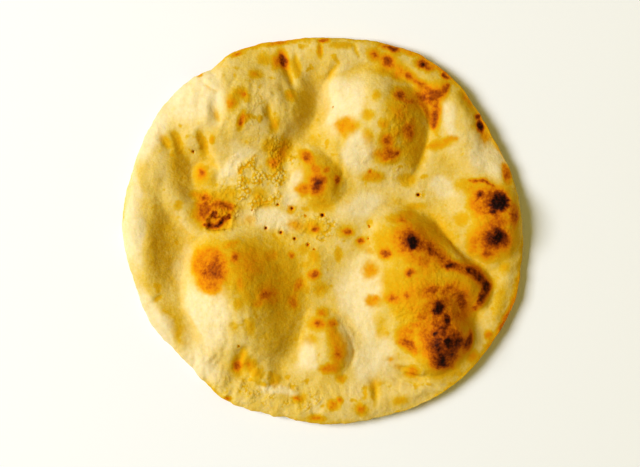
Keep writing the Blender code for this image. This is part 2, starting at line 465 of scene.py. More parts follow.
@dataclass(frozen=True)
class SkinRelief:
    """Everything on the skin that is finer than the solid, as a height along the surface normal."""

    creases: tuple[Fold, ...] = many(
        Fold, (0.7, 1.4, ((-79, 99), (-72, 93), (-66, 90)), 0.2),
        (1.3, 3, ((-99, 68), (-95, 58), (-92, 48)), 0.1),
        (1, 2.6, ((-109, 66), (-104, 60), (-99, 52))),
        (1.2, 2.8, ((-82, 68), (-78, 58), (-76, 48)), 0.1),
        (0.8, 2.4, ((-72, 84), (-69, 77), (-67, 70)), 0.2),
        (0.9, 2.2, ((-36, 86), (-34, 76), (-31, 68)), 0.2),
        (1, 2, ((-28, 120), (-24, 110), (-21, 102), (-19, 93)), 0.2),
        (0.7, 1.8, ((-18, 119), (-17, 112), (-14, 105)), 0.1),
        (0.7, 2, ((13, 111), (6, 105), (2, 97)), 0.1),
        (0.7, 1.4, ((21, 126), (22, 119), (26, 114)), 0.1),
        (0.6, 1.4, ((-1, 127), (-1, 120), (0, 114)), 0.1),
        (0.8, 1.8, ((-113, -49), (-108, -44), (-104, -41)), 0.1),
        (1, 2, ((-49, -74), (-54, -83), (-56, -94)), 0.2),
        (0.8, 2, ((-31, -92), (-33, -99), (-31, -104)), 0.1),
        (0.7, 1.1, ((11, -56), (18, -67), (21, -79), (19, -93)), -0.2),
        (0.7, 2, ((34, -96), (36, -106), (35, -119)), 0.1),
        (1, 1.2, ((70, 13), (80, 2), (87, -10), (95, -19), (104, -24), (113, -29)), -0.2),
        (0.7, 1.5, ((68, 76), (70, 62), (66, 46), (56, 31)), -0.2),
        (0.6, 1.4, ((13, 52), (14, 38), (9, 22))),
        (0.8, 1.8, ((-51, 78), (-53, 72), (-52, 66)), 0.2),
        (0.6, 1.2, ((50, -92), (60, -96), (71, -97)), 0.2),
        (0.5, 1.1, ((52, -97), (61, -101), (70, -101)), 0.1),
        (0.8, 1.6, ((64, 99), (73, 94), (82, 93)), 0.2),
        (0.7, 1.8, ((93, -72), (90, -80), (84, -88)), 0.1),
    )
    wrinkles: tuple[WrinklePatch, ...] = many(
        WrinklePatch, (-66, -60, 32, 40, 12, 6.5, 0.4), (-62, -96, 38, 24, -20, 5.5, 0.62),
        (-60, 84, 40, 28, -12, 8, 0.6), (-28, 84, 16, 28, 10, 6, 0.55),
        (62, -98, 12, 34, 75, 3.2, 0.6), (0, -114, 70, 14, 5, 4.5, 0.3),
        (92, -58, 16, 24, -15, 5, 0.3), (74, 80, 16, 18, 35, 5.5, 0.3),
        (-116, 20, 12, 60, 5, 6, 0.25), (20, 60, 26, 30, 15, 6, 0.18),
    )
    pimples: tuple[PimplePatch, ...] = many(
        PimplePatch, (-43, 34, 28, 40, -28, 1), (-28, 52, 16, 16, 0, 1), (-64, 16, 24, 16, 0, 0.9),
        (-8, 2, 32, 15, 0, 0.7), (38, 44, 24, 14, 0, 0.4), (-30, -108, 56, 15, -10, 0.6),
        (70, -52, 34, 44, 0, 0.55), (52, 72, 16, 24, 0, 0.55), (-46, 82, 26, 28, 0, 0.35),
        (112, 8, 20, 26, 0, 0.5),
    )
    swell: Layers = ((0.6, 17, 3), (0.36, 8, 4), (0.17, 3.8, 5), (0.07, 2.1, 6))
    crease_stray: tuple[Layers, Layers] = (((0.8, 7, 11),), ((0.8, 7, 12),))
    crumb_height: float = 0.62
    crumb_rags: Layers = ((1, 8, 73), (0.5, 4, 74))
    pricks: tuple[Prick, ...] = many(
        Prick, (-37, 2), (-27, -1, 1.2), (-18, -5), (-9, -9, 1.1), (-29, 17.5, 0.8), (-19.5, 15),
        (0.5, 10.5, 1.3), (31.5, 3, 0.8), (30.5, -5, 0.8), (64, 24, 1.2), (-85, 52.5, 0.9),
        (7.5, 82, 0.6, 0.5), (-54.5, -75.5, 0.7, 0.7), (-46, 14, 0.7, 0.8), (-11, 10, 0.7, 0.8),
        (-5, -12, 0.8, 0.8),
    )
    tear: Route = ((-74, 2), (-70, 6), (-66, 4), (-61, 8))
    tear_width: float = 4.2
    tear_depth: float = 2.4
    tear_rags: Layers = ((2.0, 3.5, 91), (0.9, 1.6, 92))

    def depth(self, points: Array) -> Array:
        """How far each point of the upper skin and rim moves out along its normal.

        Args:
            points: Places in millimetres, one row of x, y, z each.

        Returns:
            How far out each point moves, in millimetres.
        """
        x, y = points[:, 0], points[:, 1]
        moved = layered(points, self.swell) - self.furrow(points)
        for index, patch in enumerate(self.wrinkles):
            moved += self._wrinkle(points, patch, 40 + index)
        moved += self.crumb(points) * self.crumb_height * (0.4 + noise(points, 3.4, 75))
        for prick in self.pricks:
            away = np.hypot(x - prick.x, y - prick.y) / prick.radius
            moved -= prick.depth * np.exp(-(away**4)) - 0.15 * np.exp(-(((away - 1.7) / 0.5) ** 2))
        return moved - self._torn(points)

    def furrow(self, points: Array) -> Array:
        """How far the creases pull the skin down at each place.

        Args:
            points: Places in millimetres, one row of x, y, z each.

        Returns:
            The depth of each place, in millimetres.
        """
        x, y = strayed(points, *self.crease_stray)
        return np.sum([crease.cut(x, y) for crease in self.creases], axis=0)

    def _wrinkle(self, points: Array, patch: WrinklePatch, seed: int) -> Array:
        """Ridges that run along the patch and wander a little.

        Args:
            points: Places in millimetres, one row of x, y, z each.
            patch: The wrinkled patch.
            seed: Picks its pattern.

        Returns:
            The height of each place, in millimetres.
        """
        x, y = points[:, 0], points[:, 1]
        across, along = turned(x, y, (patch.x, patch.y), patch.turn)
        stretched = np.stack((across, along / 3.0, points[:, 2]), axis=1)
        stretched[:, 0] += 1.5 * noise(points, 12, seed + 5)
        coarse, fine = (1.4, patch.spacing, seed), (0.6, patch.spacing / 2, seed + 9)
        return patch.height * patch.share(x, y) * layered(stretched, (coarse, fine))

    def crumb(self, points: Array) -> Array:
        """How thickly burst bubbles stand at each place, from 0 to 1.

        Args:
            points: Places in millimetres, one row of x, y, z each.

        Returns:
            The share of each place.
        """
        x, y = points[:, 0], points[:, 1]
        shares = [patch.strength * patch.share(x, y) for patch in self.pimples]
        return smooth_step(layered(points, self.crumb_rags), -0.45, 0.35) * np.max(shares, axis=0)

    def _torn(self, points: Array) -> Array:
        """The ragged tear, with steep walls and a curled edge.

        Args:
            points: Places in millimetres, one row of x, y, z each.

        Returns:
            The depth of each place, in millimetres.
        """
        away, _, share = along_route(points[:, 0], points[:, 1], self.tear)
        fade = np.clip(4 * share * (1 - share) + 0.35, 0, 1)
        edge = away + layered(points, self.tear_rags) - self.tear_width * fade
        curled = 0.7 * np.exp(-(((edge - 1.2) / 0.9) ** 2))
        return self.tear_depth * smooth_step(-edge, -0.4, 1.2) - curled


def near_grain(x: Array, y: Array, spacing: float, seed: int) -> Array:
    """Distance to the nearest point of a jittered grid, in grid spacings.

    Args:
        x: Places across.
        y: Places along.
        spacing: The grid's spacing.
        seed: Picks how the points are jittered.

    Returns:
        The distance of each place.
    """
    u, v = x / spacing, y / spacing
    cell_u, cell_v = np.floor(u), np.floor(v)
    best = np.full(x.shape, 9.0)
    for du in (-1, 0, 1):
        for dv in (-1, 0, 1):
            cu, cv = cell_u + du, cell_v + dv
            key = np.dot(GRID_STEPS, (cu, cv, np.full(x.shape, seed))).astype(np.int64) & 0xFFFFFF
            key = ((key ^ (key >> 9)) * GRID_MIXER) & WORD
            ju, jv = ((key >> 4) & 1023) / 1023, ((key >> 16) & 1023) / 1023
            best = np.minimum(best, np.hypot(u - cu - 0.15 - 0.7 * ju, v - cv - 0.15 - 0.7 * jv))
    return best


# ---- Where the crust took colour ----


@dataclass(frozen=True)
class Scorch:
    """A browned spot, also used for gold washes of painted shade: how far it is baked, middle,
    half sizes at half its bake, turn, and its edge.

    An edge of 2 fades like a halo, and a higher one keeps the colour up to a clearer border.
    """

    bake: Bake
    x: float
    y: float
    half_width: float
    half_length: float
    turn: float = 0.0
    edge: float = 2.8

    def heat(self, x: Array, y: Array, ragged: Array) -> Array:
        """How far each place is baked by this spot.

        Args:
            x: Places across.
            y: Places along.
            ragged: Noise that frays the border.

        Returns:
            The bake of each place, from 0 to 1.
        """
        across, along = turned(x, y, (self.x, self.y), self.turn)
        size = math.sqrt(self.half_width * self.half_length)
        reach = np.hypot(across / self.half_width, along / self.half_length)
        reach = np.clip(reach + 0.6 * ragged / (size + 2.5), 0, 4)
        return self.bake.value * 0.5 ** (reach**self.edge)


@dataclass(frozen=True)
class Streak:
    """A browned line along a fold or a ridge, with its half width at half its bake."""

    bake: Bake
    half_width: float
    route: Route

    def heat(self, x: Array, y: Array, ragged: Array) -> Array:
        """How far each place is baked by this streak.

        Args:
            x: Places across.
            y: Places along.
            ragged: Noise that frays the border.

        Returns:
            The bake of each place, from 0 to 1.
        """
        away, _, share = along_route(x, y, self.route)
        taper = 0.55 + 0.45 * np.sin(math.pi * share) + 0.12 * ragged
        reach = np.clip((away + 0.5 * ragged) / (self.half_width * taper), 0, 4)
        return self.bake.value * 0.5 ** (reach**2)


def upper_scorches_and_shade() -> tuple[Scorch | Streak, ...]:
    """Lays out what is browned on the upper side, and the gold washes of painted shade.

    Returns:
        The spots, from the palest to the darkest, and then the streaks.
    """
    spots = {
        # Washes in the valleys, on shaded flanks and on the rim turned from the key light are
        # painted shade; the rest are light toasting.
        Bake.WASH_AND_SHADE: (
            (-57, -62, 3, 3), (-28, -68, 18, 18, 0, 3), (-106, -10, 11, 32, 0, 3),
            (-96, -62, 8, 18, 28, 3), (-4, 60, 6, 5), (-79, 37, 9, 10), (-73, 33, 4, 7),
            (-94, 42, 8, 20, 5, 3), (-78, 52, 4, 9), (-10, 84, 11, 18, -10, 3),
            (106, 63, 6, 17, 22, 4), (95, 84, 5, 12, 38, 3), (118, -46, 5, 14, -14, 3),
            (94, -35, 8, 6), (18, 17, 6, 5), (40, -66, 5, 10), (-5, -24, 7, 16, 0, 3),
        ),
        Bake.GOLD: (
            # (-28, -34) on the big dome's shaded flank is painted shade.
            (-53, -47, 4, 5, 0, 2), (-50, -40, 5, 12, 30, 2), (-28, -34, 20, 32, 8, 2),
            (-30, -24, 6, 5), (-46, -62, 4, 6, 0, 2), (-52, -83, 3, 6, -30, 2), (-42, -94, 4, 5),
            (-31, -99, 4, 6), (9, 34, 6, 14, 0, 3), (-3, 35, 13, 17, 0, 3), (0, 18, 9, 6),
            (-62, 25, 7, 4, 0, 2), (-94, 17, 3, 3), (-41, 24, 5, 5, 0, 2), (-39, 17, 6, 4, 0, 2),
            (-48, 8, 6, 4, 0, 2), (-34, 56, 5, 6), (-12, -12, 4, 4), (-38, 114, 5, 5),
            (-17, 108, 3.5, 7, 10), (11, 70, 5, 5, 0, 2), (30, 76, 4.5, 3.5), (36, 89, 3, 3.5),
            # (60, 60) on the shaded flank of the upper right dome is painted shade.
            (30, 60, 4, 7, 8, 3), (60, 60, 9.5, 20, 3, 4), (57, 34, 6, 5, 0, 3), (42, 107, 9, 5),
            (80, 97, 3, 5, -30), (13, 123, 9, 2.5), (94, 31, 7, 4, 10, 2), (92, 8, 6, 5, 0, 3),
            (121, -24, 4, 5, -30, 2), (50, -34, 16, 12, 0, 2), (61, 16, 10, 3, 5),
            (72, -32, 26, 12, -15, 2.4), (46, -85, 4, 4, 0, 2), (51, -90, 5, 2.5, -20),
            (31, -22, 3, 4, 0, 2), (42, -9, 8, 12), (27, -8, 5.5, 5, 0, 2), (31, -13, 3.5, 3),
            (16, 0, 6, 4.5, 0, 2), (78, -93, 10, 5, 15), (-8, -72, 5, 4, 0, 2),
            (-5, -17, 4.5, 5, 0, 3), (-1, -38, 6, 6), (52, -112, 5, 3, 10, 2),
            (35, -102, 4, 8, 5, 2),
        ),
        Bake.AMBER: (
            (-48, -22, 15, 15, 0, 2), (-60, -9, 7, 3, 10), (-53, -34, 5, 6, 0, 2), (-42, -47, 5, 4),
            (-34, -16, 6, 5), (-48, -88, 4.5, 5, 0, 2), (-84, 24, 4, 3), (-70, 13, 15, 13, 0, 3),
            (-72, 60, 2, 3), (-27, 50, 5, 12, -30), (-18, 4, 6, 4, 0, 2), (-6, 2, 6.5, 5, 0, 2),
            (-20, 15, 3, 3), (-53, 90.5, 5, 4, -20, 2), (-59, 85, 4, 5, -20, 2),
            (-50, 73, 5, 2.2, 30), (-44, 103, 4, 3, 0, 2), (-20, 89, 4, 4, 0, 2),
            (-31, 70, 3, 5, -15, 2), (-1, 119, 2, 5), (-80, 103, 3, 1.5, 30), (16, 69, 8, 7, 0, 3),
            (41, 70, 3.5, 3.5), (49, 65, 4.5, 4), (52, 78, 9, 13, 0, 2), (64, 84, 9, 10, 0, 2),
            (33, 36, 7.5, 3.6, 0, 3), (76, 57, 4.5, 3.5, 0, 2), (50, 103, 6, 4, -30),
            (108, 62, 5, 6), (96, 86, 3, 9, 35), (99, 28, 5, 4, 10, 2), (66, -8, 20, 18, -10, 2),
            (55, 9, 10, 5, 8, 3), (64, -44, 18, 20, 0, 3), (46, -85, 2, 2, 0, 2),
            (50, -43, 11, 6, 0, 2), (34, -46, 6.5, 4.5, 0, 3), (36, -45, 3, 2, 0, 2),
            (32, -26, 6, 6.5, 0, 3), (13, -97, 4, 3), (-15, -111, 5, 3.4, 0, 2),
            (100, -83, 4, 5, -45),
        ),
        Bake.ORANGE: (
            (-73.5, -21.5, 13.5, 12, 0, 6), (-73.5, -29, 10.5, 13.5, 0, 5),
            (-35, -41, 9, 8, -20, 2), (-19, -47, 5, 7, 25, 2), (-15, -36, 4, 6, -15, 2),
            (-20, -16, 2.5, 3), (-62, -111, 3, 1.6), (-4, 40, 4, 6, 20), (-12, 28, 6, 5),
            (3, 40, 3.5, 3), (-32, 45, 4, 4), (-51, 89, 2.5, 2.2), (-60, 83, 2.5, 2.5),
            (-53, 72, 2.6, 6, -15), (-30, 112, 3, 5, 0, 2), (-25, 112, 3.4, 8, 18, 2),
            (-56, 117, 5, 1.6, 25), (-29, 124, 8, 1.8, 5), (53, 106, 5, 3.5, -40, 2),
            (103, 19, 7, 11, 0, 3), (101, -8, 5, 9, 0, 2), (115, 7, 13, 8),
            (66, -20, 14, 8, -20, 2), (52, 7, 6, 3, 0, 2), (86, -46, 18, 16, 0, 4),
            (92, -54, 9, 12, 0, 2), (63, -61, 8, 3.5, 10), (66, -68, 6, 12, 0, 2), (56, -67, 7, 6),
            (70, -40, 9, 9, 0, 2), (66, -56, 8, 8, 0, 2), (60, -92.5, 5, 4),
            (0, -54, 3.5, 3.5, 0, 2), (7, -61, 4, 3.5, 0, 2), (11, -80, 4, 7), (5, -91, 6, 3.5),
            (-17, -111, 2.4, 1.6, 0, 2), (7, -115, 3.5, 3, 0, 2), (12, -112, 2.5, 2.5),
            (26, -118, 4, 4, 0, 2), (-3, -124, 5, 2.2, 0, 2), (110, -69, 3, 3),
        ),
        Bake.RUST: (
            (-70, -25, 10, 13, 8, 1.6), (-67, -26, 6, 8, 8, 2), (-56.5, -16.5, 4, 4.5, 0, 2),
            (-36, -42, 3.5, 3, 0, 2), (-55.5, -89, 3.4, 6, -10, 2), (-80, -100, 2, 1.6),
            (-9, 48, 4, 7, 40), (10, 34, 2.5, 4), (-80, 38, 3.6, 4.6, 0, 1.4), (-77, 21, 5, 6),
            (-78, 13, 6, 9, 8), (-66, 17, 9, 4, -5), (-60, 16, 3.5, 3.5), (-4, 1, 3, 3),
            (-53, 70, 1.8, 2.4), (43, 58, 5, 6, 0, 2), (44, 51, 9, 5, 4, 2), (57.5, 66, 5, 7, 0, 2),
            (52, 89, 5.5, 5, 0, 2), (67, 88, 9, 5, -15, 1.6), (32, 39, 1.5, 1.5),
            (35, 117, 4, 4, 0, 2), (44, 112.5, 5.5, 4.5, -20, 2), (58, 102.5, 4.5, 3, -40, 2),
            (71, 108, 4, 3), (122, 38, 3, 7, 15), (1, 126, 4, 1.6), (112, 19, 13, 12),
            # (126, 10) on the right edge, turned from the key light, is painted shade.
            (113, -5, 14, 13, 0, 3), (110, -15, 6, 5, 0, 2), (126, 10, 4, 9), (57, -6, 12, 12),
            (73, -39, 5, 5), (83, -38, 4, 4), (89, -41, 6, 5), (92, -46, 4, 6, 0, 2),
            (75, -50, 9.5, 9), (78, -62, 12, 10, 0, 3), (72, -74, 6, 14, 8, 2),
            (79, -72, 15, 21, 0, 3), (57, -75, 9, 4.5, -32), (47, -44, 5, 4, 0, 1.8),
            (55, -42, 4, 3.5, 0, 1.8), (42, -14.5, 5, 4.5), (26, -6.5, 3, 2.5), (17, 0, 3.5, 2.5),
            (-3, -61, 5, 3.4, 0, 1.6), (-5, -29, 4.5, 3.5, 10),
        ),
        Bake.BROWN: (
            (-3, 31, 6.5, 8), (-25.5, 113, 3.4, 6, 15, 2.6), (49, 51.5, 3, 2.4, 0, 2),
            (74, 90, 6.5, 6, 0, 1.6), (75, 75, 2.4, 7, 0, 2), (44, 113, 2.5, 2.5),
            (67, 111, 5, 4, -20, 2.4), (46, 121, 7, 2.2, -15), (82, 103, 2.5, 3.5, 30),
            (103, 76, 2, 3), (58, -7, 7, 8), (72, -14, 5, 4, -30), (85, -23, 6, 3),
            (98, -26.5, 6, 3.4, -15), (104, -31, 4, 3.4), (105, -44.5, 3.2, 5, -30),
            (86, -72, 8.5, 8, 20, 3), (80, -77, 13, 16, -15, 3.4), (96, -73, 4, 8, -22),
            (58, -27, 4, 3.5),
        ),
        Bake.DARK: (
            (-71, 11, 2.5, 2.5), (67, 110.5, 2.5, 2, 0, 2), (105, 69, 2.6, 4.5, 10),
            (112, 13, 3, 3.5), (105, 24, 3, 3.5), (115, -5, 8.5, 9, 0, 3),
            (108.5, -36.5, 3.6, 5.5, 5), (96, -25.5, 2.8, 2.6), (82, -58, 2.6, 5, 20),
            (74, -67, 2.5, 2.5), (79, -84, 7, 8, 10, 2),
        ),
        Bake.CHAR: (
            (117, 19, 7, 7.5, 30, 5), (116, -4, 3.4, 5, 0, 2), (58.5, -7, 4, 7, 0, 3),
            (76, -50, 5.5, 6), (79, -86, 3, 3.5), (82, -72, 3, 3),
        ),
    }
    streaks = many(
        Streak, (Bake.BROWN, 3, ((-77, 4), (-70, 4), (-66, 7), (-61, 10))),
        (Bake.DARK, 1.6, ((-72, 4), (-69, 4), (-67, 6))),
        (Bake.ORANGE, 4, ((54, 86), (62, 86), (69, 81), (73, 73))),
        (Bake.ORANGE, 4, ((62, 99), (72, 92))), (Bake.RUST, 4.2, ((83, 96), (78, 90), (73, 87))),
        (Bake.RUST, 4.2, ((76, 86), (75, 78), (74, 69))),
        (Bake.AMBER, 3, ((70, 56), (78, 57), (84, 60), (89, 61))),
        (Bake.AMBER, 5, ((36, 116), (46, 110), (54, 105), (62, 100))),
        (Bake.RUST, 2, ((97, 33), (108, 33), (114, 29))),
        (Bake.RUST, 7, ((61, -8), (70, -11), (76, -16), (84, -21))),
        (
            Bake.RUST, 5,
            ((80, -23), (88, -24), (96, -25.5), (103, -29), (108, -35), (107, -43), (101, -51)),
        ),
        (Bake.ORANGE, 6.5, ((84, -22), (98, -27), (108, -36), (106, -46))),
        (Bake.GOLD, 3, ((11, -11), (11, -20))), (Bake.AMBER, 6, ((6, -64), (12, -77), (10, -92))),
    )
    rows = [(bake, *place) for bake, places in spots.items() for place in places]
    return many(Scorch, *rows) + streaks


@dataclass(frozen=True)
class BakeMap:
    """How far every place of the crust is baked, with painted shade in its hollows and creases,
    and how much pale dusting lies on it as painted highlight.
    """

    form: DoughForm
    skin: SkinRelief
    scorches_and_shade: tuple[Scorch | Streak, ...] = field(default_factory=upper_scorches_and_shade)
    # Pale patches on the slopes that face the key light: painted highlight.
    dustings_and_highlights: tuple[Patch, ...] = many(
        Patch, (-76, -58, 20, 34, 5), (-82, 88, 26, 24, 35), (-112, 62, 10, 34, -28),
        (-110, -58, 9, 34, 32), (24, -45, 18, 40, -10), (12, 86, 20, 26, -10), (24, 52, 16, 14),
        (80, 30, 10, 10, 20), (-57, 46, 8, 20, -40), (86, 74, 9, 16, 25), (-10, -84, 8, 16),
        (-125, 8, 8, 44), (34, -84, 22, 16), (108, 48, 12, 24, 30), (-91, -28, 9, 30),
        (-30, -104, 18, 5, -8), (28, 17, 22, 13), (26, -70, 9, 26), (-34, 8, 28, 8),
        (-78, -88, 20, 14, -35), (-18, 30, 8, 18, -20),
    )
    blend: float = 7.0
    # A browned rim line; where it rises on the side turned from the key light it is painted shade.
    edge_bake_and_shade: ClosedCurve = ClosedCurve((
        (0, 0.22), (20, 0.26), (35, 0.38), (50, 0.38), (65, 0.46), (78, 0.24), (90, 0.22),
        (100, 0.34), (115, 0.32), (125, 0.06), (160, 0.02), (200, 0.02), (228, 0.06), (236, 0.22),
        (250, 0.12), (270, 0.16), (290, 0.08), (305, 0.16), (322, 0.34), (338, 0.66), (348, 0.28),
    ))
    edge_width: float = 3.2
    hollow_reach: float = 9.0
    # Gold painted into the hollows between blisters as shade.
    hollow_painted_shade: float = 0.14
    # Gold painted along the creases as shade.
    crease_painted_shade: float = 0.28
    freckle_bake: float = 0.26
    spot_stray: tuple[Layers, Layers] = (
        ((0.9, 9, 21), (0.5, 3.5, 22)), ((0.9, 9, 23), (0.5, 3.5, 24)),
    )
    spot_rags: Layers = ((1.5, 5, 25), (1.2, 2.4, 26), (0.8, 1.2, 27))
    least_bake: float = 0.07
    ground: Layers = ((0.06, 22, 28), (0.04, 7, 29))
    freckles: Layers = ((1, 6.5, 41), (0.35, 2.6, 42))
    mottle: Layers = ((0.16, 6, 30), (0.14, 2.6, 31))
    flour_and_highlight_specks: Layers = ((0.25, 3, 52), (0.15, 1.4, 55))
    flour_and_highlight_stray: tuple[Layers, Layers] = (((6, 16, 53),), ((6, 16, 54),))
    under_bake: float = 0.18
    under_ground: Layers = ((0.10, 28, 38), (0.05, 8, 39))
    under_rags: Layers = ((0.12, 5, 33), (0.07, 2.2, 34))
    under_spacing: float = 26.0

    def upper(self, points: Array) -> Array:
        """Bake on the upper side and the rim.

        Args:
            points: Places in millimetres.

        Returns:
            The bake of each place, from 0 to 1.
        """
        ragged = layered(points, self.spot_rags)
        inset = np.clip(self.form.inset(points[:, 0], points[:, 1]), 0, None)
        bakes = [np.clip(self.least_bake + layered(points, self.ground), 0, 1)]
        freckle = smooth_step(layered(points, self.freckles), 0.34, 0.85)
        bakes.append(self.freckle_bake * freckle * (1 - 0.8 * self.dusted_and_lit(points)))
        x, y = strayed(points, *self.spot_stray)
        bakes += [scorch.heat(x, y, ragged) for scorch in self.scorches_and_shade]
        # Painted shade: gold laid in the hollows between the blisters.
        hollow_shade = self.hollowness(points) * smooth_step(inset, 8, 16)
        bakes.append(self.hollow_painted_shade * hollow_shade * (1 + 0.3 * noise(points, 9, 33)))
        # Painted shade: gold laid along the creases.
        bakes.append(self.crease_painted_shade * np.clip(self.skin.furrow(points) / 0.7, 0, 1))
        # The browned rim line, darker on the side turned from the key light, which is painted shade
        # in part.
        bearing = np.degrees(np.arctan2(points[:, 1], points[:, 0]))
        edge = self.edge_bake_and_shade.at(bearing) * (1 + 0.35 * noise(points, 14, 32))
        edge = edge * np.exp(-(((inset + 0.8 * ragged) / self.edge_width) ** 2))
        bakes.append(np.clip(edge, 0, 1))
        for prick in self.skin.pricks:
            away = np.hypot(points[:, 0] - prick.x, points[:, 1] - prick.y) / prick.radius
            bakes.append(Bake.DARK.value * 0.5 ** (np.clip(away, 0, 4) ** 4))
        total = sum(bake**self.blend for bake in bakes) ** (1 / self.blend)
        return np.clip(total * (1 + layered(points, self.mottle)), 0, 1)

    def hollowness(self, points: Array) -> Array:
        """1 where the skin lies in a hollow between blisters, fading to 0 on level dough."""
        below = self.form.hollowness(points[:, 0], points[:, 1], self.hollow_reach)
        return smooth_step(below, 0.1, 1.5)

    def under(self, points: Array) -> Array:
        """Bake on the underside: pale, with brown leopard spots where it touched the oven wall.

        Args:
            points: Places in millimetres, one row of x, y, z each.

        Returns:
            The bake of each place, from 0 to 1.
        """
        near = near_grain(points[:, 0], points[:, 1], self.under_spacing, 35)
        size = np.clip(0.18 + 0.13 * noise(points, 40, 36), 0.05, None)
        spots = smooth_step(-(near + layered(points, self.under_rags)), -size - 0.12, -size + 0.14)
        strength = 0.62 + 0.22 * noise(points, 30, 37)
        ground = self.under_bake + layered(points, self.under_ground)
        return np.clip(np.maximum(ground, spots * strength), 0, 1)

    def flour_and_highlight(self, points: Array) -> Array:
        """How much pale dusting lies on each place: painted highlight on the lit slopes, kept
        lower in the hollows as painted shade.
        """
        laid = self.dusted_and_lit(points) * (0.8 + layered(points, self.flour_and_highlight_specks))
        return np.clip(laid, 0, 1) * (1 - 0.6 * self.hollowness(points))

    def dusted_and_lit(self, points: Array) -> Array:
        """How far each place lies inside the pale patches of painted highlight, from 0 to 1."""
        x, y = strayed(points, *self.flour_and_highlight_stray)
        return 1 - np.prod([1 - patch.share(x, y) for patch in self.dustings_and_highlights], axis=0)


# ---- Materials ----


def linear(hex_colour: str) -> tuple[float, float, float, float]:
    """An sRGB colour such as "f4e1b0" as linear red, green, blue and alpha.

    Args:
        hex_colour: Six hexadecimal digits.

    Returns:
        The colour for a shader or a ramp.
    """
    values = [int(hex_colour[i : i + 2], 16) / 255 for i in (0, 2, 4)]
    red, green, blue = [v / 12.92 if v <= 0.04045 else ((v + 0.055) / 1.055) ** 2.4 for v in values]
    return (red, green, blue, 1.0)


def add_node(
    tree: bpy.types.NodeTree,
    kind: str,
    settings: dict[Any, Any] | None = None,
    links: dict[Any, Socket] | None = None,
) -> bpy.types.Node:
    """Adds a node with its settings and links.

    Args:
        tree: The material's node tree.
        kind: The node's type name.
        settings: Values by input name, input number or property name.
        links: Sockets to link, by input name or number.

    Returns:
        The new node.
    """
    node = tree.nodes.new(kind)
    for name, value in (settings or {}).items():
        if isinstance(name, int) or name in node.inputs:
            node.inputs[name].default_value = value
        else:
            setattr(node, name, value)
    for name, socket in (links or {}).items():
        tree.links.new(socket, node.inputs[name])
    return node


